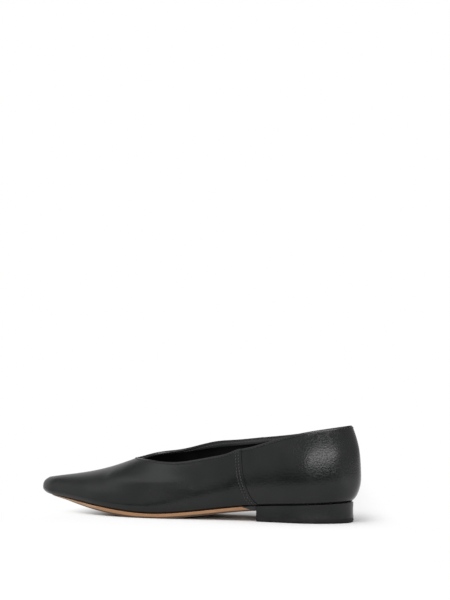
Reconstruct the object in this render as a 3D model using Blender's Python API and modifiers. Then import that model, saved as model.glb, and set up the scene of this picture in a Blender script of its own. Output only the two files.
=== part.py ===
"""Ballet flat for the left foot: upper, insole, outsole, heel and top piece.

Sizes are in millimetres and MM turns them into metres. X runs from heel to toe, Y to the outer
side of the foot and Z up from the floor. A station is a distance along the last from the back
of the heel seat. The feather line is where the upper meets the sole, and the crest is the top
of the last's section.
"""

import bmesh
import bpy
import numpy as np

MM = 0.001
NAME = "ballet_flat"

# Driving sizes of the last and the upper.
LAST_LENGTH = 258.0
HEEL_ROUND = 40.0
TOE_ROUND = 15.0
TIP_REACH = 22.0
TIP_FULL = 0.36
TIP_FORWARD = 1.2
TIP_SLOPE = 5.3
TIP_UNDER = 1.0
BACK_REACH = 75.0
APEX_X = 174.0
WALL = 1.7
TUCK = 1.6
TUCK_RISE = 5.0

# The lapped side seam: the vamp lies over the quarter, and its lap fades out towards the toe.
SEAM_FOOT = 62.3
SEAM_LEAN = 14.5
SEAM_BEND = 0.32
LAP_RISE = 0.5
LAP_FADE = 14.0
LAP_EDGE = 0.4

# Driving sizes of what the upper stands on.
GAP = 0.3
INSOLE_THICK = 2.0
INSOLE_INSET = 3.7
HEEL_LENGTH = 64.0
LIFT_THICK = 3.5

# Station and side offset of the middle of the bounding box, which is the part's origin.
ORIGIN = (125.42, -0.74)

# The last, one row for each section: half widths to the outer and inner side of the spine,
# heights of feather line and crest, and how far and how high the wall flares before it turns in.
SECTION_COLUMNS = ("x", "spine", "outer", "inner", "feather", "crest", "flare", "flare_rise", "roof")
SECTIONS = (
    (0.0, 0.0, 24.8, 24.8, 15.3, 110.0, 8.5, 29.0, 0.45),
    (30.0, 0.0, 25.0, 25.0, 13.7, 106.0, 8.5, 29.0, 0.45),
    (64.0, 0.0, 24.6, 23.6, 11.8, 93.5, 8.5, 28.0, 0.45),
    (94.0, 0.5, 26.4, 20.0, 8.5, 80.5, 8.0, 25.0, 0.45),
    (120.0, 0.5, 30.5, 22.0, 5.3, 66.5, 6.5, 21.0, 0.45),
    (148.0, -0.5, 35.5, 28.5, 3.6, 53.0, 5.0, 17.0, 0.45),
    (175.0, -2.5, 36.8, 34.0, 5.2, 42.1, 4.5, 14.0, 0.42),
    (202.0, -4.5, 31.8, 30.5, 8.0, 33.4, 4.0, 11.0, 0.42),
    (230.0, -6.5, 21.5, 21.0, 10.9, 27.9, 3.0, 9.0, 0.45),
    (258.0, -8.5, 11.0, 11.0, 13.2, 24.3, 2.0, 6.0, 0.55),
)

# Height of the topline on both sides. It ends on the crest at the apex of the throat.
TOPLINE_COLUMNS = ("x", "outer", "inner")
TOPLINE = (
    (0.0, 71.4, 71.4),
    (30.0, 66.1, 66.0),
    (58.0, 58.8, 61.5),
    (79.0, 52.8, 59.1),
    (96.0, 48.2, 57.3),
    (112.0, 44.4, 55.9),
    (128.0, 42.0, 52.3),
    (144.0, 41.8, 48.7),
    (160.0, 42.5, 46.5),
)

# The back curve of the heel: height above the feather line and how far forward the wall lies.
BACK_COLUMNS = ("rise", "forward")
BACK = (
    (0.0, -2.7),
    (10.0, -7.3),
    (24.0, -8.2),
    (40.0, -6.7),
    (58.0, -0.9),
    (80.0, 7.2),
)

# The sole: its thickness, skived towards the toe, how far its edge lies inside the feather line, and
# how far its tip is set back under the toe.
SOLE_COLUMNS = ("x", "thick", "inset", "back")
SOLE = (
    (62.0, 3.6, 0.3, 0.0),
    (100.0, 3.4, 0.3, 0.0),
    (150.0, 3.5, 0.3, 0.0),
    (190.0, 3.2, 0.3, 0.0),
    (214.0, 2.0, 0.4, 0.0),
    (228.0, 1.1, 0.8, 0.2),
    (242.0, 0.7, 1.3, 1.2),
    (258.0, 0.5, 2.0, 5.0),
)

# Where the ribs of the upper lie: end of the stretch, number of ribs and the end they crowd to.
UPPER_SPANS = (
    (HEEL_ROUND, 11, "start"),
    (SEAM_FOOT - LAP_EDGE, 4, "even"),
    (SEAM_FOOT, 1, "even"),
    (SEAM_FOOT + LAP_FADE, 4, "even"),
    (140.0, 10, "even"),
    (APEX_X, 9, "end"),
    (LAST_LENGTH - TOE_ROUND, 12, "even"),
    (LAST_LENGTH, 8, "end"),
)
UPPER_ROWS = 16
SEAT_SPANS = ((HEEL_ROUND, 10, "start"), (HEEL_LENGTH, 4, "even"))
INSOLE_SPANS = (
    (HEEL_ROUND, 9, "start"),
    (LAST_LENGTH - TOE_ROUND, 21, "even"),
    (LAST_LENGTH, 6, "end"),
)
SOLE_SPANS = ((LAST_LENGTH - TOE_ROUND, 31, "even"), (LAST_LENGTH, 7, "end"))

# Sides of the sole, the heel and the top piece from top to bottom: share of the height and inset.
SOLE_STEPS = ((0.0, 0.0), (0.55, 0.0), (0.8, 0.3), (1.0, 1.2))
HEEL_STEPS = ((0.0, 0.8), (0.06, 0.4), (0.35, 0.7), (0.65, 0.7), (0.96, 0.4), (1.0, 0.5))
LIFT_STEPS = ((0.0, 0.5), (0.06, 0.4), (0.7, 0.3), (0.92, 0.6), (1.0, 1.1))

# Colour, roughness and metallic value of each piece.
FINISHES = {
    "upper": ((0.012, 0.012, 0.013), 0.38, 0.0),
    "insole": ((0.010, 0.010, 0.010), 0.60, 0.0),
    "outsole": ((0.515, 0.262, 0.127), 0.55, 0.0),
    "heel": ((0.012, 0.012, 0.013), 0.40, 0.0),
    "top_piece": ((0.009, 0.009, 0.009), 0.70, 0.0),
}


def natural_spline(knots, values):
    """A smooth curve through the values at the knots, straight at both ends."""
    knots = np.array(knots)
    values = np.array(values)
    count = len(knots)
    gaps = np.diff(knots)
    slopes = np.diff(values) / gaps
    system = np.eye(count)
    bends = np.zeros(count)
    for i in range(1, count - 1):
        system[i, i - 1:i + 2] = gaps[i - 1], 2 * (gaps[i - 1] + gaps[i]), gaps[i]
        bends[i] = 6 * (slopes[i] - slopes[i - 1])
    bends = np.linalg.solve(system, bends)

    def curve(x):
        x = np.clip(x, knots[0], knots[-1])
        i = np.clip(np.searchsorted(knots, x) - 1, 0, count - 2)
        after = x - knots[i]
        before = knots[i + 1] - x
        gap = gaps[i]
        cubic = (bends[i] * before**3 + bends[i + 1] * after**3) / (6 * gap)
        start = (values[i] / gap - bends[i] * gap / 6) * before
        end = (values[i + 1] / gap - bends[i + 1] * gap / 6) * after
        return cubic + start + end

    return curve


def table_curves(columns, rows):
    """One smooth curve for each column of a table, over its first column."""
    data = np.array(rows)
    return {name: natural_spline(data[:, 0], data[:, k]) for k, name in enumerate(columns) if k}


def topline_rows():
    """The topline table with its last row, where both sides meet on the crest."""
    crest = float(LAST["crest"](APEX_X))
    return TOPLINE + ((APEX_X, crest, crest),)


LAST = table_curves(SECTION_COLUMNS, SECTIONS)
TOP = table_curves(TOPLINE_COLUMNS, topline_rows())
HEEL_BACK = table_curves(BACK_COLUMNS, BACK)["forward"]
SOLE_AT = table_curves(SOLE_COLUMNS, SOLE)
SIDES = {"outer": 1.0, "inner": -1.0}


def spread(spans, start=0.0):
    """Stations from start through every span, evenly or crowded to one of its ends."""
    stations = [start]
    for end, count, crowd in spans:
        share = np.arange(1, count + 1) / count
        if crowd == "start":
            share = share**2
        if crowd == "end":
            share = 1 - (1 - share)**2
        first = stations[-1]
        stations.extend(first + (end - first) * share)
    return np.array(stations)


def end_round(x):
    """Share of the half width left at a station, falling to 0 at the heel and toe ends."""
    heel = np.clip(1 - x / HEEL_ROUND, 0, 1)
    toe = np.clip((x - LAST_LENGTH + TOE_ROUND) / TOE_ROUND, 0, 1)
    return np.sqrt((1 - heel**2) * (1 - toe**2))


def tip_forward(share):
    """How far the toe's end stands forward at a share of its height: fullest low down."""
    above = np.clip((share - TIP_FULL) / (1 - TIP_FULL), 0, 1)
    below = np.clip((TIP_FULL - share) / TIP_FULL, 0, 1)
    return TIP_FORWARD - TIP_SLOPE * above**3 - TIP_UNDER * below**1.5


def ends_shift(x, rise, share):
    """Forward shift of a point of the wall by the back curve and the toe's end."""
    back = np.clip(1 - x / BACK_REACH, 0, 1)**1.5
    tip = np.clip((x - LAST_LENGTH + TIP_REACH) / TIP_REACH, 0, 1)**2
    return back * HEEL_BACK(rise) + tip * tip_forward(share)


def feather_edge(x, side):
    """Plan position of the feather line."""
    edge_x = x + ends_shift(x, 0.0, 0.0)
    edge_y = LAST["spine"](x) + SIDES[side] * end_round(x) * LAST[side](x)
    return edge_x, edge_y


def feather_normal(x, side):
    """Outward direction of the feather line in plan, straight along X at both ends."""
    step = 0.01
    x0, y0 = feather_edge(np.maximum(x - step, 0.0), side)
    x1, y1 = feather_edge(np.minimum(x + step, LAST_LENGTH), side)
    size = np.hypot(x1 - x0, y1 - y0)
    normal_x = SIDES[side] * (y0 - y1) / size
    normal_y = SIDES[side] * (x1 - x0) / size
    at_end = (x <= 0.0) | (x >= LAST_LENGTH)
    return np.where(at_end, np.sign(normal_x), normal_x), np.where(at_end, 0.0, normal_y)


def wall_height(x, t):
    """Height above the feather line at a share t of the section's curve."""
    rise = LAST["crest"](x) - LAST["feather"](x)
    return 3 * t * (1 - t)**2 * LAST["flare_rise"](x) + (3 * t**2 - 2 * t**3) * rise


def wall_point(x, t, side):
    """Outer face of the upper: t is 0 at the feather line and 1 at the crest."""
    half = LAST[side](x)
    width = (1 - t)**3 * half
    width = width + 3 * t * (1 - t)**2 * (half + LAST["flare"](x))
    width = width + 3 * t**2 * (1 - t) * half * LAST["roof"](x)
    rise = wall_height(x, t)
    section_rise = LAST["crest"](x) - LAST["feather"](x)
    share = rise / section_rise
    tuck = TUCK * np.clip(1 - rise / np.minimum(TUCK_RISE, section_rise / 4), 0, 1)**2
    normal_x, normal_y = feather_normal(x, side)
    px = x + ends_shift(x, rise, share) - normal_x * tuck
    py = LAST["spine"](x) + SIDES[side] * end_round(x) * width - normal_y * tuck
    return np.stack([px, py, LAST["feather"](x) + rise], -1)


def topline_cut(x, side):
    """Share t at which the topline cuts the section, or 1 where the vamp is closed."""
    goal = TOP[side](x) - LAST["feather"](x)
    low = np.zeros_like(x)
    high = np.ones_like(x)
    for _ in range(40):
        middle = (low + high) / 2
        below = wall_height(x, middle) < goal
        low = np.where(below, middle, low)
        high = np.where(below, high, middle)
    return np.where(x >= APEX_X, 1.0, high)


def upper_point(x, v, side):
    """Outer face of the upper on a rib: v is 0 at the feather line and 1 at the topline."""
    near_seam = np.clip(1 - (x / SEAM_FOOT - 1)**2, 0, 1)**2
    x = x + SEAM_LEAN * near_seam * v * (1 + SEAM_BEND) / (v + SEAM_BEND)
    cut = topline_cut(x, side)
    lost = 1 - cut
    t = v * (1 - lost * (lost + cut * v))
    return wall_point(x, t, side)


def lap_share(x):
    """Share of the lap's rise: full at the seam's edge, fading out towards the toe."""
    ahead = np.clip(1 - (x - SEAM_FOOT) / LAP_FADE, 0, 1)
    return np.where(x < SEAM_FOOT - LAP_EDGE / 2, 0.0, ahead**2 * (3 - 2 * ahead))


def sole_top(x):
    return LAST["feather"](x) - GAP


def sole_bottom(x):
    """Underside of the sole, worn flat on the floor under the ball of the foot."""
    return np.maximum(0.0, sole_top(x) - SOLE_AT["thick"](x))


def across(x, inset, height, rows):
    """A sheet of points from the outer to the inner edge of the outline, drawn in by inset."""
    edges = []
    for side in ("outer", "inner"):
        edge_x, edge_y = feather_edge(x, side)
        normal_x, normal_y = feather_normal(x, side)
        edges.append(np.stack([edge_x - normal_x * inset, edge_y - normal_y * inset], -1))
    share = np.linspace(0, 1, rows + 1)[None, :, None]
    plan = edges[0][:, None] * (1 - share) + edges[1][:, None] * share
    level = np.broadcast_to(np.asarray(height)[..., None, None], plan.shape[:2] + (1,))
    return np.concatenate([plan, level], -1)


def to_part(points):
    """Points of the last in metres from the part's origin."""
    return (np.asarray(points) - (ORIGIN[0], ORIGIN[1], 0.0)) * MM


def grid(bm, points):
    """A grid of faces laid on a table of points, with its row and column kept on each vertex."""
    columns = points.shape[0] - 1
    rows = points.shape[1] - 1
    column = bm.verts.layers.int.new("column")
    row = bm.verts.layers.int.new("row")
    bmesh.ops.create_grid(bm, x_segments=columns, y_segments=rows, size=0.5)
    placed = to_part(points)
    for vert in bm.verts:
        vert[column] = round((vert.co.x + 0.5) * columns)
        vert[row] = round((vert.co.y + 0.5) * rows)
        vert.co = placed[vert[column], vert[row]]
    return column, row


def finish_object(bm, name):
    """Turn the mesh into a smooth shaded object with its own material."""
    for face in bm.faces:
        face.smooth = True
    mesh = bpy.data.meshes.new(name)
    bm.to_mesh(mesh)
    bm.free()
    obj = bpy.data.objects.new(name, mesh)
    bpy.data.collections[NAME].objects.link(obj)
    obj.parent = bpy.data.objects[NAME]
    colour, roughness, metallic = FINISHES[name]
    material = bpy.data.materials.new(name)
    material.use_nodes = True
    shader = material.node_tree.nodes["Principled BSDF"]
    shader.inputs["Base Color"].default_value = (*colour, 1.0)
    shader.inputs["Roughness"].default_value = roughness
    shader.inputs["Metallic"].default_value = metallic
    mesh.materials.append(material)
    return obj


def make_slab(name, sheets):
    """A closed solid from sheets of points: the first is its top, the last its underside."""
    bm = bmesh.new()
    column, row = grid(bm, sheets[0])
    faces = bm.faces[:]
    for level, sheet in enumerate(sheets[1:]):
        placed = to_part(sheet)
        pushed = bmesh.ops.extrude_face_region(bm, geom=faces)["geom"]
        if level:
            bmesh.ops.delete(bm, geom=faces, context="FACES")
        faces = [item for item in pushed if isinstance(item, bmesh.types.BMFace)]
        for vert in pushed:
            if isinstance(vert, bmesh.types.BMVert):
                vert.co = placed[vert[column], vert[row]]
    bmesh.ops.remove_doubles(bm, verts=bm.verts[:], dist=0.05 * MM)
    bmesh.ops.recalc_face_normals(bm, faces=bm.faces[:])
    return finish_object(bm, name)


def make_upper():
    """One hollow wall: up the inner side to the toe, and back down the outer side."""
    stations = spread(UPPER_SPANS)
    v = np.linspace(0, 1, UPPER_ROWS + 1)[None, :]
    x = stations[:, None] + np.zeros_like(v)
    inner = upper_point(x, v + np.zeros_like(x), "inner")
    outer = upper_point(x, v + np.zeros_like(x), "outer")
    lap = np.concatenate([lap_share(stations), lap_share(stations[-2::-1])])
    bm = bmesh.new()
    column, _ = grid(bm, np.concatenate([inner, outer[-2::-1]]))
    weights = bm.verts.layers.deform.verify()
    bm.normal_update()
    for vert in bm.verts:
        share = float(lap[vert[column]])
        vert[weights][0] = share
        vert.co += vert.normal * (LAP_RISE * MM * share)
    bmesh.ops.remove_doubles(bm, verts=bm.verts[:], dist=0.05 * MM)
    upper = finish_object(bm, "upper")
    upper.vertex_groups.new(name="lap")
    wall = upper.modifiers.new("wall", "SOLIDIFY")
    wall.thickness = (WALL + LAP_RISE) * MM
    wall.offset = -1.0
    wall.use_even_offset = True
    wall.vertex_group = "lap"
    wall.thickness_vertex_group = WALL / (WALL + LAP_RISE)


def make_insole():
    x = spread(INSOLE_SPANS)
    base = LAST["feather"](x)
    make_slab("insole", [
        across(x, INSOLE_INSET + 0.5, base + INSOLE_THICK, 4),
        across(x, INSOLE_INSET, base + INSOLE_THICK - 0.5, 4),
        across(x, INSOLE_INSET, base, 4),
    ])


def make_outsole():
    x = spread(SOLE_SPANS, HEEL_LENGTH + GAP)
    top = sole_top(x)
    bottom = sole_bottom(x)
    edge = SOLE_AT["inset"](x)
    round_off = SOLE_AT["thick"](x) / SOLE_AT["thick"](150.0)
    sheets = []
    for share, inset in SOLE_STEPS:
        sheet = across(x, edge + inset * round_off, top * (1 - share) + bottom * share, 6)
        sheet[..., 0] -= SOLE_AT["back"](x)[:, None]
        sheets.append(sheet)
    make_slab("outsole", sheets)


def seat_sheet(inset, height, rows=6):
    """A sheet of the heel seat's outline, with the straight breast at its front."""
    x = spread(SEAT_SPANS)
    return across(x, inset, height(x), rows)


def make_heel():
    floor = LIFT_THICK + GAP
    sheets = []
    for share, inset in HEEL_STEPS:
        sheets.append(seat_sheet(inset, lambda x: sole_top(x) * (1 - share) + floor * share))
    make_slab("heel", sheets)


def make_top_piece():
    sheets = []
    for share, inset in LIFT_STEPS:
        sheets.append(seat_sheet(inset, lambda x: np.full_like(x, LIFT_THICK * (1 - share))))
    make_slab("top_piece", sheets)


def main():
    for obj in list(bpy.data.objects):
        bpy.data.objects.remove(obj, do_unlink=True)
    parts = bpy.data.collections.new(NAME)
    bpy.context.scene.collection.children.link(parts)
    root = bpy.data.objects.new(NAME, None)
    parts.objects.link(root)
    make_upper()
    make_insole()
    make_outsole()
    make_heel()
    make_top_piece()


main()
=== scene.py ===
import math

import bmesh
import bpy
import numpy as np
from mathutils import Matrix, Vector
from mathutils.bvhtree import BVHTree
from mathutils.kdtree import KDTree


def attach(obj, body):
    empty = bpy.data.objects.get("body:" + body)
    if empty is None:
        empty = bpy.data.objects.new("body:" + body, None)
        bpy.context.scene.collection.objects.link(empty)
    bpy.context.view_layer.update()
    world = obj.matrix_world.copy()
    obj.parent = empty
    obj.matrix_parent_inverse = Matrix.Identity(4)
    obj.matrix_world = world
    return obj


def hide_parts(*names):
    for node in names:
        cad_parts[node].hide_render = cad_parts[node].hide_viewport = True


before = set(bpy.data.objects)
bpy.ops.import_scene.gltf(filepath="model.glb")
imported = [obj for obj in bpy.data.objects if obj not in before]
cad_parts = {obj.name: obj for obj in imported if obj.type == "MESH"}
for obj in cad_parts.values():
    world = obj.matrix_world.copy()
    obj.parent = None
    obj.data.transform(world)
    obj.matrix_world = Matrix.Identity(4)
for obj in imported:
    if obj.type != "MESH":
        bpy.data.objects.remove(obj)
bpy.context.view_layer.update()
mm = 0.001
weld = 0.02 * mm      # points closer than this are merged
print("frame loaded:", ", ".join(sorted(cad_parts)))


# The last. Stations run along it from the back of the heel seat, sizes are in millimetres.
last = {
    "length": 258.0,
    "heelRound": 40.0,
    "toeRound": 15.0,
    "tipReach": 22.0,
    "backReach": 75.0,
    "apex": 174.0,        # front of the throat
    "tipFull": 0.36,      # where the toe is fullest as a share of its height, its reach there, its fall above
    "tipForward": 1.2,
    "tipFall": 5.3,
    "tuck": 1.6,          # how far the wall turns in at the feather line
    "tuckRise": 5.0,      # over this height, or this share of a low wall
    "tuckMost": 0.25,
    "seamFoot": 62.3,     # side seam at the feather line
    "seamLean": 14.5,     # how far it leans to the toe at the topline
    "seamBend": 0.32,
    "gap": 0.3,           # sole and heel lie this far below the feather line
    "heelLength": 64.0,
    "origin": (125.42, -0.74, 0.0),
    "columns": ("x", "spine", "outer", "inner", "feather", "crest", "flare", "flareRise", "roof"),
    "sections": (
        (0.0, 0.0, 24.8, 24.8, 15.3, 110.0, 8.5, 29.0, 0.45),
        (30.0, 0.0, 25.0, 25.0, 13.7, 106.0, 8.5, 29.0, 0.45),
        (64.0, 0.0, 24.6, 23.6, 11.8, 93.5, 8.5, 28.0, 0.45),
        (94.0, 0.5, 26.4, 20.0, 8.5, 80.5, 8.0, 25.0, 0.45),
        (120.0, 0.5, 30.5, 22.0, 5.3, 66.5, 6.5, 21.0, 0.45),
        (148.0, -0.5, 35.5, 28.5, 3.6, 53.0, 5.0, 17.0, 0.45),
        (175.0, -2.5, 36.8, 34.0, 5.2, 42.1, 4.5, 14.0, 0.42),
        (202.0, -4.5, 31.8, 30.5, 8.0, 33.4, 4.0, 11.0, 0.42),
        (230.0, -6.5, 21.5, 21.0, 10.9, 27.9, 3.0, 9.0, 0.45),
        (258.0, -8.5, 11.0, 11.0, 13.2, 24.3, 2.0, 6.0, 0.55),
    ),
    "toplineColumns": ("x", "outer", "inner"),
    "topline": (
        (0.0, 71.4, 71.4),
        (30.0, 66.1, 66.0),
        (58.0, 58.3, 61.5),
        (71.0, 54.3, 60.0),
        (76.5, 53.2, 59.4),
        (81.5, 52.0, 58.8),
        (86.5, 50.0, 58.3),
        (96.0, 47.5, 57.3),
        (112.0, 44.4, 55.9),
        (128.0, 42.0, 52.3),
        (144.0, 41.8, 48.7),
        (160.0, 42.5, 46.5),
    ),
    "backColumns": ("rise", "forward"),
    "back": ((0.0, -2.7), (10.0, -7.3), (24.0, -8.2), (40.0, -6.7), (58.0, -0.9), (80.0, 7.2)),
    "soleColumns": ("x", "thick", "inset", "back"),
    "sole": (
        (62.0, 3.6, 0.3, 0.0),
        (100.0, 3.4, 0.3, 0.0),
        (150.0, 3.5, 0.3, 0.0),
        (190.0, 3.2, 0.3, 0.0),
        (214.0, 2.0, 0.4, 0.0),
        (228.0, 1.1, 0.8, 0.2),
        (242.0, 0.7, 1.3, 1.2),
        (258.0, 0.5, 2.0, 5.0),
    ),
}
sideSign = {"outer": 1.0, "inner": -1.0}


def naturalSpline(knots, values):
    knots, values = np.array(knots), np.array(values)
    count = len(knots)
    gaps = np.diff(knots)
    slopes = np.diff(values) / gaps
    system = np.eye(count)
    bends = np.zeros(count)
    for i in range(1, count - 1):
        system[i, i - 1:i + 2] = gaps[i - 1], 2 * (gaps[i - 1] + gaps[i]), gaps[i]
        bends[i] = 6 * (slopes[i] - slopes[i - 1])
    bends = np.linalg.solve(system, bends)

    def curve(x):
        x = np.clip(x, knots[0], knots[-1])
        i = np.clip(np.searchsorted(knots, x) - 1, 0, count - 2)
        after, before, gap = x - knots[i], knots[i + 1] - x, gaps[i]
        cubic = (bends[i] * before**3 + bends[i + 1] * after**3) / (6 * gap)
        start = (values[i] / gap - bends[i] * gap / 6) * before
        return cubic + start + (values[i + 1] / gap - bends[i + 1] * gap / 6) * after

    return curve


def tableCurves(columns, rows):
    data = np.array(rows)
    return {name: naturalSpline(data[:, 0], data[:, k]) for k, name in enumerate(columns) if k}


lastAt = tableCurves(last["columns"], last["sections"])
apexCrest = float(lastAt["crest"](last["apex"]))
topAt = tableCurves(last["toplineColumns"], last["topline"] + ((last["apex"], apexCrest, apexCrest),))
backAt = tableCurves(last["backColumns"], last["back"])["forward"]
soleAt = tableCurves(last["soleColumns"], last["sole"])


def smooth(share):
    share = np.clip(share, 0, 1)
    return share * share * (3 - 2 * share)


def spread(spans, start=0.0):  # stations through every span, even or crowded to one end of it
    stations = [start]
    for end, count, crowd in spans:
        share = np.arange(1, count + 1) / count
        share = {"even": share, "start": share**2, "end": 1 - (1 - share)**2}[crowd]
        first = stations[-1]
        stations.extend(first + (end - first) * share)
    return np.array(stations)


def endRound(x):
    heel = np.clip(1 - x / last["heelRound"], 0, 1)
    toe = np.clip((x - last["length"] + last["toeRound"]) / last["toeRound"], 0, 1)
    return np.sqrt((1 - heel**2) * (1 - toe**2))


def tipForward(share):  # end of the toe: full below, falling back above
    full = last["tipFull"]
    above = np.clip((share - full) / (1 - full), 0, 1)
    below = np.clip((full - share) / full, 0, 1)
    return last["tipForward"] - last["tipFall"] * above**3 - below**1.5


def endsShift(x, rise, share):  # back curve of the heel and round end of the toe
    back = np.clip(1 - x / last["backReach"], 0, 1)**1.5
    tip = np.clip((x - last["length"] + last["tipReach"]) / last["tipReach"], 0, 1)**2
    return back * backAt(rise) + tip * tipForward(share)


def featherEdge(x, side):
    y = lastAt["spine"](x) + sideSign[side] * endRound(x) * lastAt[side](x)
    return x + endsShift(x, 0.0, 0.0), y


def featherNormal(x, side):
    step = 0.01
    x0, y0 = featherEdge(np.maximum(x - step, 0.0), side)
    x1, y1 = featherEdge(np.minimum(x + step, last["length"]), side)
    size = np.hypot(x1 - x0, y1 - y0)
    nx, ny = sideSign[side] * (y0 - y1) / size, sideSign[side] * (x1 - x0) / size
    atEnd = (x <= 0.0) | (x >= last["length"])
    return np.where(atEnd, np.sign(nx), nx), np.where(atEnd, 0.0, ny)


def wallHeight(x, t):
    rise = lastAt["crest"](x) - lastAt["feather"](x)
    return 3 * t * (1 - t)**2 * lastAt["flareRise"](x) + (3 * t**2 - 2 * t**3) * rise


def wallPoint(x, t, side):  # t is 0 at the feather line and 1 at the crest
    half = lastAt[side](x)
    width = (1 - t)**3 * half + 3 * t * (1 - t)**2 * (half + lastAt["flare"](x))
    width = width + 3 * t**2 * (1 - t) * half * lastAt["roof"](x)
    rise = wallHeight(x, t)
    full = lastAt["crest"](x) - lastAt["feather"](x)
    tuckRise = np.minimum(last["tuckRise"], last["tuckMost"] * full)
    tuck = last["tuck"] * np.clip(1 - rise / tuckRise, 0, 1)**2
    nx, ny = featherNormal(x, side)
    px = x + endsShift(x, rise, rise / full) - nx * tuck
    py = lastAt["spine"](x) + sideSign[side] * endRound(x) * width - ny * tuck
    return np.stack([px, py, lastAt["feather"](x) + rise], -1)


def toplineCut(x, side):
    goal = topAt[side](x) - lastAt["feather"](x)
    low, high = np.zeros_like(x), np.ones_like(x)
    halvings = 40
    for _ in range(halvings):
        middle = (low + high) / 2
        below = wallHeight(x, middle) < goal
        low, high = np.where(below, middle, low), np.where(below, high, middle)
    return np.where(x >= last["apex"], 1.0, high)


def upperPoint(x, v, side):  # v is 0 at the feather line and 1 at the topline
    nearSeam = np.clip(1 - (x / last["seamFoot"] - 1)**2, 0, 1)**2
    x = x + last["seamLean"] * nearSeam * v * (1 + last["seamBend"]) / (v + last["seamBend"])
    cut = toplineCut(x, side)
    lost = 1 - cut
    return wallPoint(x, v * (1 - lost * (lost + cut * v)), side)


def across(x, inset, height, rows):  # sheet of points between the two edges of the outline
    edges = []
    for side in ("outer", "inner"):
        ex, ey = featherEdge(x, side)
        nx, ny = featherNormal(x, side)
        edges.append(np.stack([ex - nx * inset, ey - ny * inset], -1))
    share = np.linspace(0, 1, rows + 1)[None, :, None]
    plan = edges[0][:, None] * (1 - share) + edges[1][:, None] * share
    level = np.asarray(height)
    level = level[:, None] if level.ndim == 1 else level
    return np.concatenate([plan, np.broadcast_to(level[..., None], plan.shape[:2] + (1,))], -1)


def toFrame(points):
    return (np.asarray(points) - last["origin"]) * mm


# Meshes
def layGrid(bm, points):  # a grid laid on a table of points, each vertex keeps its place in the table
    columns, rows = points.shape[0] - 1, points.shape[1] - 1
    column = bm.verts.layers.int.new("column")
    row = bm.verts.layers.int.new("row")
    half = 0.5
    bmesh.ops.create_grid(bm, x_segments=columns, y_segments=rows, size=half)
    placed = toFrame(points)
    for vert in bm.verts:
        vert[column] = round((vert.co.x + half) * columns)
        vert[row] = round((vert.co.y + half) * rows)
        vert.co = placed[vert[column], vert[row]]
    return column, row


def slabMesh(sheets, levels=None):  # closed solid, first sheet its top and last sheet its underside
    bm = bmesh.new()
    low = bm.verts.layers.float.new("low")
    column, row = layGrid(bm, sheets[0])
    faces = bm.faces[:]
    for level, sheet in enumerate(sheets[1:]):
        placed = toFrame(sheet)
        pushed = bmesh.ops.extrude_face_region(bm, geom=faces)["geom"]
        if level:
            bmesh.ops.delete(bm, geom=faces, context="FACES")
        faces = [item for item in pushed if isinstance(item, bmesh.types.BMFace)]
        for vert in pushed:
            if isinstance(vert, bmesh.types.BMVert):
                vert.co = placed[vert[column], vert[row]]
                vert[low] = levels[level + 1] if levels else 0.0
    bmesh.ops.remove_doubles(bm, verts=bm.verts[:], dist=weld)
    bmesh.ops.recalc_face_normals(bm, faces=bm.faces[:])
    return bm


def finishPiece(bm, name, materials, node=None, sharp=None):
    for face in bm.faces:
        face.smooth = True
    mesh = bpy.data.meshes.new(name)
    bm.to_mesh(mesh)
    bm.free()
    if sharp:
        mesh.set_sharp_from_angle(angle=math.radians(sharp))
    for material in materials:
        mesh.materials.append(material)
    piece = bpy.data.objects.new(name, mesh)
    bpy.context.scene.collection.objects.link(piece)
    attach(piece, "root")
    if node:
        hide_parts(node)
    print("made", name, len(mesh.polygons), "faces")


# Shader maths: a Wire is one output socket, and an expression on wires adds Math nodes
class Wire:
    def __init__(self, tree, socket=None):
        self.tree = tree
        self.socket = socket

    def node(self, kind, settings=None, sockets=None, out=0):
        made = self.tree.nodes.new(kind)
        for name, value in (settings or {}).items():
            setattr(made, name, value)
        for name, value in (sockets or {}).items():
            if isinstance(value, Wire):
                self.tree.links.new(value.socket, made.inputs[name])
            else:
                made.inputs[name].default_value = value
        return Wire(self.tree, made.outputs[out])

    def math(self, operation, a, b=0.0):
        return self.node("ShaderNodeMath", {"operation": operation}, {0: a, 1: b})

    def __add__(self, other):
        return self.math("ADD", self, other)

    __radd__ = __add__

    def __sub__(self, other):
        return self.math("SUBTRACT", self, other)

    def __rsub__(self, other):
        return self.math("SUBTRACT", other, self)

    def __mul__(self, other):
        return self.math("MULTIPLY", self, other)

    __rmul__ = __mul__

    def between(self, low, high):  # 0 at low, 1 at high, soft in between
        return self.node("ShaderNodeMapRange", {"interpolation_type": "SMOOTHSTEP"},
                         {"Value": self, "From Min": low, "From Max": high})


def newFinish(name):  # a material, its shader, a wire to build on and the piece's own coordinates
    material = bpy.data.materials.new(name)
    material.use_nodes = True
    wire = Wire(material.node_tree)
    place = wire.node("ShaderNodeTexCoord", out="Object")
    return material, material.node_tree.nodes["Principled BSDF"], wire, place


def plug(shader, **sockets):  # Base_Color=wire or number
    tree = shader.id_data
    for name, value in sockets.items():
        socket = shader.inputs[name.replace("_", " ")]
        if isinstance(value, Wire):
            tree.links.new(value.socket, socket)
        else:
            socket.default_value = value


def mixColour(wire, share, a, b):  # 6, 7 and 2 are the node's colour sockets
    return wire.node("ShaderNodeMix", {"data_type": "RGBA"}, {"Factor": share, 6: a, 7: b}, out=2)


def noise(wire, place, scale, detail=2.0, rough=0.5):
    return wire.node("ShaderNodeTexNoise", {}, {"Vector": place, "Scale": scale, "Detail": detail,
                                                "Roughness": rough})


def axis(wire, vector, letter):
    return wire.node("ShaderNodeSeparateXYZ", {}, {0: vector}, out=letter)


def bumped(wire, height, strength, distance):
    return wire.node("ShaderNodeBump", {}, {"Strength": strength, "Distance": distance, "Height": height})


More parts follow.
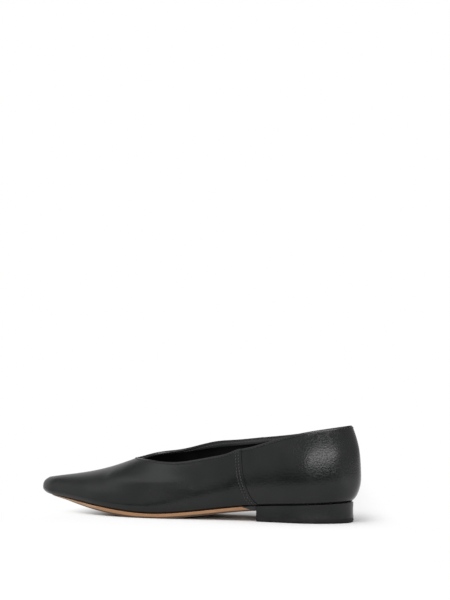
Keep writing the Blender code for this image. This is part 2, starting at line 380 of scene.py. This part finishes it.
# Scales are in features a metre. A span is where a pattern starts and is full.
leatherLook = {
    "dark": (0.0066, 0.0074, 0.0073, 1),
    "light": (0.0105, 0.0112, 0.0110, 1),
    "lightSpan": (0.35, 0.7),
    "grain": 700.0,               # pebbles, and how softly they run together
    "melt": 0.3,
    "fine": (2.4, 0.25),          # finer grain: scale against the pebbles, and share of the bump
    "bump": (0.5, 0.00012),       # strength and distance
    "worn": (45.0, 3.0),          # scale and detail
    "wornSpan": (0.3, 0.7),
    "gloss": (0.10, 0.13),        # roughness where it is least and most worn
    "pebbleSpan": (0.3, 0.7),
    "valley": (0.09, 0.17),       # added between pebbles: where the last pulls it smooth, and at the heel
    "heelFrom": (0.072, 0.102),   # the grain opens to the heel, and up from the seat, between these
    "heelRise": (0.030, 0.042),
    "ior": 1.42,
}
# The facing's base colour is lighter than the outer leather: a painted sheen on the inside band below the
# topline.
sheenFacingLook = dict(leatherLook, dark=(0.015, 0.016, 0.016, 1), light=(0.022, 0.022, 0.022, 1),
                  gloss=(0.30, 0.42), valley=(0.05, 0.05))
# The rounded rim's base colour is lighter than the outer leather: a painted highlight along the topline edge.
rimHighlightLook = dict(leatherLook, dark=(0.012, 0.013, 0.013, 1), light=(0.018, 0.018, 0.018, 1),
                gloss=(0.16, 0.22), valley=(0.05, 0.05), ior=1.9)
heelLook = dict(leatherLook, bump=(0.5, 0.00008), gloss=(0.26, 0.34), valley=(0.05, 0.05), ior=1.37)


def leatherFinish(name, look):
    material, shader, w, place = newFinish(name)
    pebbles = w.node("ShaderNodeTexVoronoi", {"feature": "SMOOTH_F1"},
                     {"Vector": place, "Scale": look["grain"], "Smoothness": look["melt"]})
    fineScale, fineShare = look["fine"]
    fine = noise(w, place, look["grain"] * fineScale)
    worn = noise(w, place, *look["worn"])
    height = (1 - pebbles) * (1 - fineShare) + fine * fineShare
    heelward = (axis(w, place, "X") * -1.0).between(*look["heelFrom"])
    heelward = heelward * axis(w, place, "Z").between(*look["heelRise"])
    smoothed, opened = look["valley"]
    valley = pebbles.between(*look["pebbleSpan"]) * (heelward * (opened - smoothed) + smoothed)
    low, high = look["gloss"]
    gloss = worn.between(*look["wornSpan"]) * (high - low) + valley + low
    colour = mixColour(w, worn.between(*look["lightSpan"]), look["dark"], look["light"])
    plug(shader, Base_Color=colour, Roughness=gloss, Normal=bumped(w, height, *look["bump"]), IOR=look["ior"])
    return material


liningLook = {
    "dark": (0.0028, 0.0028, 0.0028, 1),
    "light": (0.0050, 0.0050, 0.0050, 1),
    "skin": (1500.0, 3.0),        # nap: scale and detail
    "patch": (60.0, 2.0),
    "patchSpan": (0.35, 0.65),
    "rough": (0.60, 0.2),         # least, and what the patches add
    "bump": (0.4, 0.0001),
    "ior": 1.3,
}
rubberLook = {
    "dark": (0.0070, 0.0070, 0.0072, 1),
    "light": (0.0140, 0.0140, 0.0140, 1),
    "skin": (1400.0, 2.0),
    "patch": (80.0, 3.0),
    "patchSpan": (0.35, 0.7),
    "rough": (0.5, 0.2),
    "bump": (0.3, 0.0001),
    "ior": 1.33,
}


def mattFinish(name, look):  # cloudy tone under a fine even skin
    material, shader, w, place = newFinish(name)
    skin = noise(w, place, *look["skin"])
    patch = noise(w, place, *look["patch"])
    colour = mixColour(w, patch.between(*look["patchSpan"]), look["dark"], look["light"])
    rough, added = look["rough"]
    plug(shader, Base_Color=colour, Roughness=patch * added + rough, Normal=bumped(w, skin, *look["bump"]),
         IOR=look["ior"])
    return material


soleEdgeLook = {
    "tan": (0.372, 0.194, 0.093, 1),
    "toeTan": (0.470, 0.300, 0.185, 1),
    "toeFrom": (0.055, 0.088),            # the edge pales to the toe between these
    "deep": (0.230, 0.112, 0.052, 1),     # darker in its layers and in patches
    "layerScale": (30.0, 30.0, 1500.0),
    "layerDetail": 3.0,
    "layerSpan": (0.3, 0.75),
    "layerShare": 0.45,
    "patch": (70.0, 3.0),
    "patchSpan": (0.4, 0.8),
    "patchShare": 0.25,
    "lowRimShade": (0.050, 0.028, 0.016, 1),    # painted shade on the lower rim of the edge, where it turns under
    "lowRimShadeSpan": (0.50, 0.80),
    "paint": (0.011, 0.011, 0.011, 1),    # black edge paint by the heel, over a line between two places
    "paintFrom": (-0.0500, 0.0103),       # x and height
    "paintTo": (-0.0585, 0.0082),
    "paintSpan": (-0.0001, 0.0003),
    "paintLead": (-0.004, 0.002),         # it comes in over this length at its start
    "rough": (0.38, 0.2),
    "bump": (0.3, 0.00012),
}


def soleEdgeFinish(name, look):
    material, shader, w, place = newFinish(name)
    layered = w.node("ShaderNodeMapping", {}, {"Vector": place, "Scale": look["layerScale"]})
    layers = noise(w, layered, 1.0, look["layerDetail"])
    patch = noise(w, place, *look["patch"])
    x, z = axis(w, place, "X"), axis(w, place, "Z")
    pale = mixColour(w, x.between(*look["toeFrom"]), look["tan"], look["toeTan"])
    deep = layers.between(*look["layerSpan"]) * look["layerShare"]
    deep = deep + patch.between(*look["patchSpan"]) * look["patchShare"]
    edge = mixColour(w, deep, pale, look["deep"])
    low = w.node("ShaderNodeAttribute", {"attribute_name": "low"}, out="Fac")
    # painted shade: the edge darkens toward its lower rim, by the 'low' share stored on its sheets
    edge = mixColour(w, low.between(*look["lowRimShadeSpan"]), edge, look["lowRimShade"])
    (x0, z0), (x1, z1) = look["paintFrom"], look["paintTo"]
    over = z - ((x - x0) * ((z1 - z0) / (x1 - x0)) + z0)
    start, end = look["paintLead"]
    paint = over.between(*look["paintSpan"]) * (x * -1.0).between(start - x0, end - x0)
    rough, added = look["rough"]
    plug(shader, Base_Color=mixColour(w, paint, edge, look["paint"]), Roughness=patch * added + rough,
         Normal=bumped(w, layers, *look["bump"]))
    return material


soleUnderLook = {
    "under": (0.360, 0.220, 0.130, 1),
    "scuff": (0.200, 0.118, 0.070, 1),
    "pores": (900.0, 3.0),
    "patch": (35.0, 4.0, 0.6),            # scale, detail and roughness
    "patchSpan": (0.45, 0.75),
    "patchShare": 0.4,
    "scratchTurn": (0.0, 0.0, 0.12),
    "scratchScale": (18.0, 500.0, 1.0),
    "scratches": (1.0, 3.0, 0.6),
    "scratchSpan": (0.60, 0.70),
    "scratchShare": 0.35,
    "rough": (0.5, 0.25),
    "bump": (0.35, 0.0001),
}


def soleUnderFinish(name, look):
    material, shader, w, place = newFinish(name)
    pores = noise(w, place, *look["pores"])
    patch = noise(w, place, *look["patch"])
    drawn = w.node("ShaderNodeMapping", {}, {"Vector": place, "Rotation": look["scratchTurn"],
                                             "Scale": look["scratchScale"]})
    scratches = noise(w, drawn, *look["scratches"]).between(*look["scratchSpan"])
    scuffed = patch.between(*look["patchSpan"]) * look["patchShare"] + scratches * look["scratchShare"]
    colour = mixColour(w, scuffed, look["under"], look["scuff"])
    rough, added = look["rough"]
    plug(shader, Base_Color=colour, Roughness=patch * added + rough, Normal=bumped(w, pores, *look["bump"]))
    return material


threadLook = {
    "colour": (0.029, 0.029, 0.029, 1),
    "light": 1.6,                 # painted highlight: the raised tops of the twist are this much lighter than the rest
    "twist": 2600.0,
    "rough": (0.22, 0.15),
    "bump": (0.4, 0.00008),
}
innerThreadLook = dict(threadLook, colour=(0.028, 0.028, 0.028, 1))
toplineThreadLook = dict(threadLook, colour=(0.014, 0.014, 0.014, 1))


def threadFinish(name, look):
    material, shader, w, place = newFinish(name)
    twist = noise(w, place, look["twist"])
    light = tuple(part * look["light"] for part in look["colour"][:3]) + (1,)
    rough, added = look["rough"]
    # painted highlight: the colour is lighter where the twist stands highest
    plug(shader, Base_Color=mixColour(w, twist, look["colour"], light), Roughness=twist * added + rough,
         Normal=bumped(w, twist, *look["bump"]))
    return material


leather = leatherFinish("blackLeather", leatherLook)
facing = leatherFinish("facingLeather", sheenFacingLook)
foldedEdge = leatherFinish("foldedEdge", rimHighlightLook)
heelLeather = leatherFinish("heelLeather", heelLook)
lining = mattFinish("liningLeather", liningLook)
soleEdge = soleEdgeFinish("soleEdge", soleEdgeLook)
soleUnder = soleUnderFinish("soleUnderside", soleUnderLook)
rubber = mattFinish("rubber", rubberLook)
thread = threadFinish("thread", threadLook)
innerThread = threadFinish("innerThread", innerThreadLook)
toplineThread = threadFinish("toplineThread", toplineThreadLook)
print("finishes ready")


# Upper: outer sheet, lining sheet and a rounded topline between them
upper = {
    "wall": 1.7,
    "lapRise": 0.5,           # vamp over quarter at the side seam
    "lapFade": 14.0,
    "lapEdge": 0.25,
    "lapUnder": 2.4,          # the quarter runs on under the vamp's edge, in lap edges
    "beadRise": 0.14,         # folded edge along the topline
    "beadWide": 2.4,
    "beadSoft": 0.6,
    "sewnDown": 1.6,          # stitch row below the topline
    "sewnDeep": 0.05,
    "sewnWide": 0.4,
    "seamRows": (2.3, 4.6),   # stitch rows ahead of the seam's edge
    "seamDeep": 0.18,
    "seamWide": 0.5,
    "seamSpan": (0.03, 0.94),   # how far up the wall the rows run
    "seamPoints": 60,
    "facingDeep": 3.9,        # padded strip inside, below the topline
    "facingRise": 1.6,
    "facingSoft": 0.4,
    "facingEnd": (116.0, 152.0),   # it gets narrow to the toe between these, down to this share
    "facingLeast": 0.15,
    "roll": (0.36, 1.3),      # the top of the wall leans in, and how far down
    "backRoll": (0.9, 2.6),
    "backEnd": (8.0, 26.0),
    "rimRound": 0.78,
    "rimSegments": 4,
    "loop": (233, 700),       # points along the topline, round the heel and on to the throat
    "spans": (
        (40.0, 30, "start"),
        (62.05, 16, "even"),
        (62.3, 1, "even"),
        (68.5, 17, "even"),
        (77.0, 8, "even"),
        (140.0, 34, "even"),
        (174.0, 26, "end"),
        (188.0, 14, "start"),
        (243.0, 34, "even"),
        (258.0, 13, "end"),
    ),
    "rows": ((0.12, 7, "even"), (0.90, 38, "even"), (1.0, 13, "even")),
}
upperFinishes = [leather, lining, facing, foldedEdge]

# soft troughs and ridges (less than 0 deep): start and end as station and height, depth and width
creases = (
    {"side": "outer", "from": (186.0, 28.0), "to": (118.0, 25.0), "deep": -1.15, "wide": 5.5},
    {"side": "outer", "from": (171.0, 40.0), "to": (150.0, 38.0), "deep": 0.35, "wide": 4.0},
    {"side": "inner", "from": (184.0, 28.0), "to": (122.0, 26.5), "deep": -1.00, "wide": 5.5},
    {"side": "inner", "from": (171.0, 40.0), "to": (152.0, 38.5), "deep": 0.30, "wide": 4.0},
)
creaseEnds = 0.15     # a crease keeps this much of a half wave off either end


def creaseShift(points, side):
    shift = np.zeros(points.shape[:2])
    for crease in creases:
        if crease["side"] == side:
            start, end = np.array(crease["from"]), np.array(crease["to"])
            along = end - start
            rel = points[..., [0, 2]] - start
            share = np.clip(rel @ along / (along @ along), 0, 1)
            far = np.linalg.norm(rel - share[..., None] * along, axis=-1)
            fade = np.sin(np.pi * (creaseEnds + (1 - 2 * creaseEnds) * share))
            shift -= crease["deep"] * fade * np.exp(-(far / crease["wide"])**2)
    return shift


def lapShare(x):
    ahead = smooth(1 - (x - last["seamFoot"]) / upper["lapFade"])
    return np.where(x < last["seamFoot"] - upper["lapEdge"] / 2, 0.0, ahead)


def fadeOut(x, span):
    return smooth((span[1] - x) / (span[1] - span[0]))


def rollIn(down, size, deep):
    return size * max(0.0, 1 - down / deep)**2


def facingRise(x, down):  # padding at a distance below the topline, and the strip's depth there
    share = fadeOut(x, upper["facingEnd"])
    least = upper["facingLeast"]
    deep = upper["facingDeep"] * (least + (1 - least) * share)
    bulge = 1 - np.clip(1 - down / deep, 0, 1)**2
    return upper["facingRise"] * share * bulge * smooth((deep - down) / upper["facingSoft"] + 1), deep


def toplineLoop():  # points along the topline, down the outer side and back up the inner one
    roundHeel, toThroat = upper["loop"]
    x = spread(((last["heelRound"], roundHeel, "start"), (last["apex"], toThroat, "end")))
    outer, inner = (upperPoint(x, np.ones_like(x), side) for side in ("outer", "inner"))
    return np.concatenate([outer, inner[::-1]])


def toplineTree():
    edge = toFrame(toplineLoop())
    tree = KDTree(len(edge))
    for i, point in enumerate(edge):
        tree.insert(point, i)
    tree.balance()
    return tree


def joined(sides):  # one table, along the inner side and back along the outer one
    return np.concatenate([sides["inner"], sides["outer"][-2::-1]])


def tuckQuarter(verts, column, row, points, stations):  # the quarter's edge goes under the vamp's
    fold = int(np.argmin(abs(stations - last["seamFoot"] + upper["lapEdge"])))
    end = len(points) - 1
    ahead = {fold: fold + 1, end - fold: end - fold - 1}
    for vert in verts:
        if vert[column] in ahead:
            step = points[ahead[vert[column]], vert[row]] - points[vert[column], vert[row]]
            vert.co += Vector(step * mm * upper["lapUnder"])


def closeRims(bm, row, top):  # walls at the feather line and at the topline, this one rounded
    rims = {0: [], top: []}
    for side in bm.edges:
        if side.is_boundary:
            rims[0 if side.verts[0][row] == 0 else top].append(side)
    for rim in rims.values():
        bmesh.ops.bridge_loops(bm, edges=rim)
    rounded = bmesh.ops.bevel(bm, geom=rims[top], offset=upper["rimRound"] * mm, profile=0.5,
                              segments=upper["rimSegments"], affect="EDGES", material=-1, clamp_overlap=True)
    # the rounded rim takes the finish with the painted highlight
    for face in rounded["faces"]:
        face.material_index = upperFinishes.index(foldedEdge)


def makeUpper():  # gives back the outside of the upper, for the stitches to lie on
    stations = spread(upper["spans"])
    v = spread(upper["rows"])[None, :]
    x = stations[:, None] + np.zeros_like(v)
    v = v + np.zeros_like(x)
    sheets = {side: upperPoint(x, v, side) for side in ("inner", "outer")}
    points = joined(sheets)
    crease = joined({side: creaseShift(sheet, side) for side, sheet in sheets.items()})
    run = joined({"inner": stations, "outer": stations})
    lap = lapShare(run) * upper["lapRise"]
    for place in upper["seamRows"]:
        far = (run - last["seamFoot"] - place) / upper["seamWide"]
        lap = lap - upper["seamDeep"] * np.exp(-far**2)

    bm = bmesh.new()
    column, row = layGrid(bm, points)
    bmesh.ops.remove_doubles(bm, verts=bm.verts[:], dist=weld)
    bm.normal_update()
    spot = bm.verts.layers.int.new("spot")
    edgeTree = toplineTree()
    base, normals, outShift, inShift, below = [], [], [], [], []
    for i, vert in enumerate(bm.verts):
        vert[spot] = i
        down = edgeTree.find(vert.co)[2] / mm
        bead = upper["beadRise"] * float(smooth((upper["beadWide"] - down) / upper["beadSoft"]))
        sewn = upper["sewnDeep"] * math.exp(-((down - upper["sewnDown"]) / upper["sewnWide"])**2)
        station = run[vert[column]]
        back = float(fadeOut(station, upper["backEnd"]))
        roll = rollIn(down, *upper["roll"]) * (1 - back) + rollIn(down, *upper["backRoll"]) * back
        padding, deep = facingRise(station, down)
        base.append(vert.co + vert.normal * (float(crease[vert[column], vert[row]]) - roll) * mm)
        normals.append(vert.normal.copy())
        outShift.append((float(lap[vert[column]]) + bead - sewn) * mm)
        inShift.append((upper["wall"] + float(padding)) * mm)
        below.append(down - float(deep))
    for vert in bm.verts:
        vert.co = base[vert[spot]] + normals[vert[spot]] * outShift[vert[spot]]
    skin = BVHTree.FromBMesh(bm)
    outerVerts = bm.verts[:]

    copied = bmesh.ops.duplicate(bm, geom=bm.verts[:] + bm.edges[:] + bm.faces[:])["geom"]
    innerFaces = [item for item in copied if isinstance(item, bmesh.types.BMFace)]
    for vert in copied:
        if isinstance(vert, bmesh.types.BMVert):
            vert.co = base[vert[spot]] - normals[vert[spot]] * inShift[vert[spot]]
    bmesh.ops.reverse_faces(bm, faces=innerFaces)
    for face in innerFaces:
        underFacing = min(below[vert[spot]] for vert in face.verts) > 0
        face.material_index = upperFinishes.index(lining if underFacing else facing)
    tuckQuarter(outerVerts, column, row, points, stations)
    closeRims(bm, row, v.shape[1] - 1)
    finishPiece(bm, "upperLeather", upperFinishes, "upper", sharp=60)
    return skin


upperSkin = makeUpper()


# Stitches: small rounded bars laid along a row on the upper
stitch = {"long": 1.7, "pitch": 2.2, "thick": 0.52, "proud": 0.13, "segments": (8, 5),
          "rowEnd": 10.0}   # a longer step than this is the end of a row
threads = [thread, innerThread, toplineThread]


def evenRow(points, pitch):
    lengths = np.concatenate([[0], np.cumsum(np.linalg.norm(np.diff(points, axis=0), axis=1))])
    count = max(2, int(lengths[-1] / pitch))
    at = (np.arange(count) + 0.5) * lengths[-1] / count
    return np.stack([np.interp(at, lengths, points[:, k]) for k in range(3)], -1)


def sewRow(bm, points, material, inside=None):  # inside is how far below the topline, on the facing
    spots = evenRow(points, stitch["pitch"] * mm)
    around, rings = stitch["segments"]
    size = Matrix.Diagonal((stitch["long"] * mm, stitch["thick"] * mm, stitch["thick"] * mm, 1))
    for before, here, after in zip(np.roll(spots, 1, 0), spots, np.roll(spots, -1, 0)):
        place, normal, _, _ = upperSkin.find_nearest(Vector(here))
        isEnd = np.linalg.norm(after - here) >= stitch["rowEnd"] * mm
        along = Vector(here - before) if isEnd else Vector(after - here)
        if inside is not None:
            padding, _ = facingRise(place.x / mm + last["origin"][0], inside)
            place, normal = place - normal * (upper["wall"] + float(padding)) * mm, -normal
        side = normal.cross(along).normalized()
        along = side.cross(normal).normalized()
        turn = Matrix((along, side, normal)).transposed().to_4x4()
        seat = Matrix.Translation(place + normal * (stitch["proud"] * mm))
        made = bmesh.ops.create_uvsphere(bm, u_segments=around, v_segments=rings, radius=0.5,
                                         matrix=seat @ turn @ size)
        for vert in made["verts"]:
            for face in vert.link_faces:
                face.material_index = threads.index(material)


def toplineRow(down):  # the topline moved down the surface by a distance in millimetres
    loop = toFrame(toplineLoop())
    row = []
    reach = 3    # points either way that give the topline's direction
    ahead = np.roll(loop, -reach, 0) - np.roll(loop, reach, 0)
    for point, along in zip(loop, ahead):
        place, normal, _, _ = upperSkin.find_nearest(Vector(point))
        drop = Vector(along).normalized().cross(normal).normalized()
        if drop.z > 0:
            drop = -drop
        row.append(place + drop * (down * mm))
    return np.array(row)


def makeStitches():
    bm = bmesh.new()
    row = toplineRow(upper["sewnDown"])
    sewRow(bm, row, toplineThread)
    sewRow(bm, row, innerThread, upper["sewnDown"])
    v = np.linspace(*upper["seamSpan"], upper["seamPoints"])
    for side in ("outer", "inner"):
        for ahead in upper["seamRows"]:
            sewRow(bm, toFrame(upperPoint(np.full_like(v, last["seamFoot"] + ahead), v, side)), thread)
    finishPiece(bm, "stitches", threads)


makeStitches()


# Insole: a thin sock on its board, a little raised along the middle
insole = {
    "inset": 3.7,
    "thick": 2.0,
    "crown": 0.5,
    "round": 0.5,
    "roundMiddle": 0.3,   # share of the rounding at its middle line
    "spans": ((40.0, 22, "start"), (243.0, 76, "even"), (258.0, 12, "end")),
    "rows": 16,
}


def makeInsole():
    x = spread(insole["spans"])
    base = lastAt["feather"](x)
    share = np.linspace(-1, 1, insole["rows"] + 1)[None, :]
    crown = insole["crown"] * (1 - share**2) * endRound(x)[:, None]
    level = base[:, None] + insole["thick"] - insole["crown"] + crown
    drop = insole["round"]
    middle = drop * insole["roundMiddle"]
    bm = slabMesh([
        across(x, insole["inset"] + drop, level, insole["rows"]),
        across(x, insole["inset"] + middle, level - middle, insole["rows"]),
        across(x, insole["inset"], level - drop, insole["rows"]),
        across(x, insole["inset"], base, insole["rows"]),
    ])
    finishPiece(bm, "insoleSock", [lining], "insole", sharp=50)


makeInsole()


# Outsole: leather with a rounded lower edge
outsole = {
    "rows": 14,
    "spans": ((243.0, 120, "even"), (258.0, 16, "end")),
    # share of the thickness, inset
    "profile": ((0.0, 0.25), (0.08, 0.0), (0.55, 0.0), (0.78, 0.25), (0.93, 0.75), (1.0, 1.2)),
    "ball": 150.0,            # the profile is full size here
    "underFrom": -0.75,       # faces that look down more than this are the underside
}
soleFinishes = [soleEdge, soleUnder]


def makeOutsole():
    x = spread(outsole["spans"], last["heelLength"] + last["gap"])
    top = lastAt["feather"](x) - last["gap"]
    bottom = np.maximum(0.0, top - soleAt["thick"](x))
    scale = soleAt["thick"](x) / soleAt["thick"](outsole["ball"])
    sheets = []
    for share, inset in outsole["profile"]:
        level = top * (1 - share) + bottom * share
        sheet = across(x, soleAt["inset"](x) + inset * scale, level, outsole["rows"])
        sheet[..., 0] -= soleAt["back"](x)[:, None]
        sheets.append(sheet)
    bm = slabMesh(sheets, [share for share, _ in outsole["profile"]])
    for face in bm.faces:
        isUnder = face.normal.z < outsole["underFrom"]
        face.material_index = soleFinishes.index(soleUnder if isUnder else soleEdge)
    finishPiece(bm, "outsoleLeather", soleFinishes, "outsole", sharp=40)


makeOutsole()


# Heel block and the rubber piece under it
heel = {
    "spans": ((40.0, 28, "start"), (64.0, 12, "even")),
    "rows": 20,
    # share of the height from the top, inset
    "profile": ((0.0, 0.4), (0.1, 0.43), (0.2, 0.48), (0.35, 0.58), (0.5, 0.6), (0.65, 0.58), (0.82, 0.5),
                (0.95, 0.42), (1.0, 0.4)),
    "seatGap": 0.2,       # dark joint under the upper
    "topPiece": 3.5,
    "pieceProfile": ((0.0, 0.4), (0.35, 0.34), (0.6, 0.36), (0.76, 0.55), (0.9, 1.05), (1.0, 1.7)),
    "joint": 0.03,        # between the block and the rubber
}


def seatSheet(inset, height):
    x = spread(heel["spans"])
    return across(x, inset, height(x), heel["rows"])


def makeHeel():
    floor = heel["topPiece"] + heel["joint"]
    lowered = last["gap"] + heel["seatGap"]
    sheets = [seatSheet(inset, lambda x: (lastAt["feather"](x) - lowered) * (1 - share) + floor * share)
              for share, inset in heel["profile"]]
    finishPiece(slabMesh(sheets), "heelCover", [heelLeather], "heel", sharp=40)
    sheets = [seatSheet(inset, lambda x: np.full_like(x, heel["topPiece"] * (1 - share)))
              for share, inset in heel["pieceProfile"]]
    finishPiece(slabMesh(sheets), "topPieceRubber", [rubber], "top_piece", sharp=40)


makeHeel()


# Floor, light and camera
studio = {
    "size": 12.0,
    "rough": 0.9,
    "seen": 0.82,                 # floor tone for the camera
    "near": 0.62,                 # floor tone that the leather sees: beside it, farther to the front, behind; painted shade darkens it far to the front and painted light brightens it behind, apart from the camera's tone
    "far": 0.08,
    "behind": 1.0,
    "farFrom": (0.20, 0.60),
    "behindWay": (-0.7, -1.0),    # direction in the plan
    "behindFrom": (0.05, 0.14),
    "white": (0.30, 0.75),        # for the camera it glows plain white far off, and ahead of the toe and behind the heel, where this glow is painted light over the shoe's shadow
    "toeWhite": (0.055, 0.115),
    "heelWay": (-0.9, -0.44),
    "heelWhite": (0.122, 0.152),
}


def planWay(x, y, way):  # how far a place or a direction goes along a way in the plan
    return x * way[0] + y * way[1]


def makeFloor():
    bm = bmesh.new()
    bmesh.ops.create_grid(bm, x_segments=1, y_segments=1, size=studio["size"])
    mesh = bpy.data.meshes.new("floor")
    bm.to_mesh(mesh)
    bm.free()
    material, shader, w, place = newFinish("floorPaper")
    seen = w.node("ShaderNodeLightPath", out="Is Camera Ray")
    away = w.node("ShaderNodeVectorMath", {"operation": "LENGTH"}, {0: place}, out="Value")
    x, y = axis(w, place, "X"), axis(w, place, "Y")
    behind = planWay(x, y, studio["behindWay"]).between(*studio["behindFrom"])
    # painted shade and light in the leather's reflections: the floor they see is darker far to the front and
    # lighter behind
    lit = y.between(*studio["farFrom"]) * (studio["far"] - studio["near"]) + studio["near"]
    lit = lit + behind * (studio["behind"] - studio["near"])
    plug(shader, Base_Color=seen * studio["seen"] + (1 - seen) * lit, Roughness=studio["rough"],
         Specular_IOR_Level=0.0)
    heelEnd = planWay(x, y, studio["heelWay"]).between(*studio["heelWhite"])
    ends = w.math("MAXIMUM", x.between(*studio["toeWhite"]), heelEnd)
    faded = w.math("MAXIMUM", away.between(*studio["white"]), ends)
    # painted light: the floor glows plain white for the camera, which lifts the shoe's shadow ahead of the
    # toe and behind the heel
    plain = w.node("ShaderNodeEmission")
    mixed = w.node("ShaderNodeMixShader", {}, {0: seen * faded, 2: plain})
    tree = material.node_tree
    tree.links.new(shader.outputs[0], mixed.socket.node.inputs[1])
    tree.links.new(mixed.socket, tree.nodes["Material Output"].inputs["Surface"])
    mesh.materials.append(material)
    floor = bpy.data.objects.new("floor", mesh)
    bpy.context.scene.collection.objects.link(floor)


# Glow of the room by direction, seen in the leather. Spans are parts of a unit direction.
room = {
    "front": (0.14, 0.62, 1.30),      # in front of the shoe: at the horizon, above it and high up
    "darkFrom": (0.45, 0.85),         # the horizon is dark only straight to the front
    "horizonTop": (0.02, 0.17),
    "highFrom": (0.56, 0.74),
    "behind": (0.56, 0.16),           # behind the shoe: low and high
    "behindHigh": (0.40, 0.62),
    "frontFrom": (0.2, 0.6),
    "cornerWay": (0.6, 0.8),          # the front reaches round the toe
    "cornerFrom": (0.0, 0.75),
    "overhead": 1.4,
    "overheadFrom": (0.75, 0.95),
}


def makeWorld():
    world = bpy.data.worlds.new("studio")
    bpy.context.scene.world = world
    world.use_nodes = True
    tree = world.node_tree
    w = Wire(tree)
    way = w.node("ShaderNodeTexCoord", out="Generated")
    x, y, height = (axis(w, way, letter) for letter in "XYZ")
    low, middle, high = room["front"]
    horizon = y.between(*room["darkFrom"]) * (low - middle) + middle
    front = height.between(*room["horizonTop"]) * (middle - horizon) + horizon
    front = front + height.between(*room["highFrom"]) * (high - middle)
    low, high = room["behind"]
    behind = height.between(*room["behindHigh"]) * (high - low) + low
    corner = planWay(x, y, room["cornerWay"]).between(*room["cornerFrom"])
    ahead = w.math("MAXIMUM", y.between(*room["frontFrom"]), corner)
    up = height.between(*room["overheadFrom"])
    glow = (front * ahead + behind * (1 - ahead)) * (1 - up) + up * room["overhead"]
    seen = w.node("ShaderNodeLightPath", out="Is Camera Ray")
    strength = glow * (1 - seen) + seen      # plain white for the camera
    tree.links.new(strength.socket, tree.nodes["Background"].inputs["Strength"])
    tree.nodes["Background"].inputs["Color"].default_value = (1, 1, 1, 1)


def aimed(obj, place, aim):
    place, aim = Vector(place), Vector(aim)
    turn = (aim - place).to_track_quat("-Z", "Y").to_matrix().to_4x4()
    obj.matrix_world = Matrix.Translation(place) @ turn
    bpy.context.scene.collection.objects.link(obj)


lamps = (
    {"name": "top", "shape": "RECTANGLE", "place": (-0.25, 0.75, 1.15), "aim": (0.0, 0.0, 0.02),
     "size": (1.15, 0.80), "watts": 10.5},
    {"name": "key", "shape": "ELLIPSE", "place": (-0.80, 1.85, 0.54), "aim": (-0.06, 0.0, 0.04),
     "size": (1.95, 0.42), "watts": 9.0},
)


def makeLamps():
    for lamp in lamps:
        light = bpy.data.lights.new(lamp["name"], "AREA")
        light.shape, light.energy = lamp["shape"], lamp["watts"]
        light.size, light.size_y = lamp["size"]
        aimed(bpy.data.objects.new(lamp["name"], light), lamp["place"], lamp["aim"])


shot = {"eye": (-0.89961, 1.85493, 0.19630), "aim": (-0.02465, 0.0, 0.16221), "lens": 164.74, "sensor": 36.0}


def makeCamera():
    camera = bpy.data.cameras.new("camera")
    camera.lens, camera.sensor_width, camera.sensor_fit = shot["lens"], shot["sensor"], "AUTO"
    seen = bpy.data.objects.new("camera", camera)
    aimed(seen, shot["eye"], shot["aim"])
    bpy.context.scene.camera = seen


makeFloor()
makeWorld()
makeLamps()
makeCamera()
bpy.context.scene.view_settings.view_transform = "Standard"
print("studio ready")
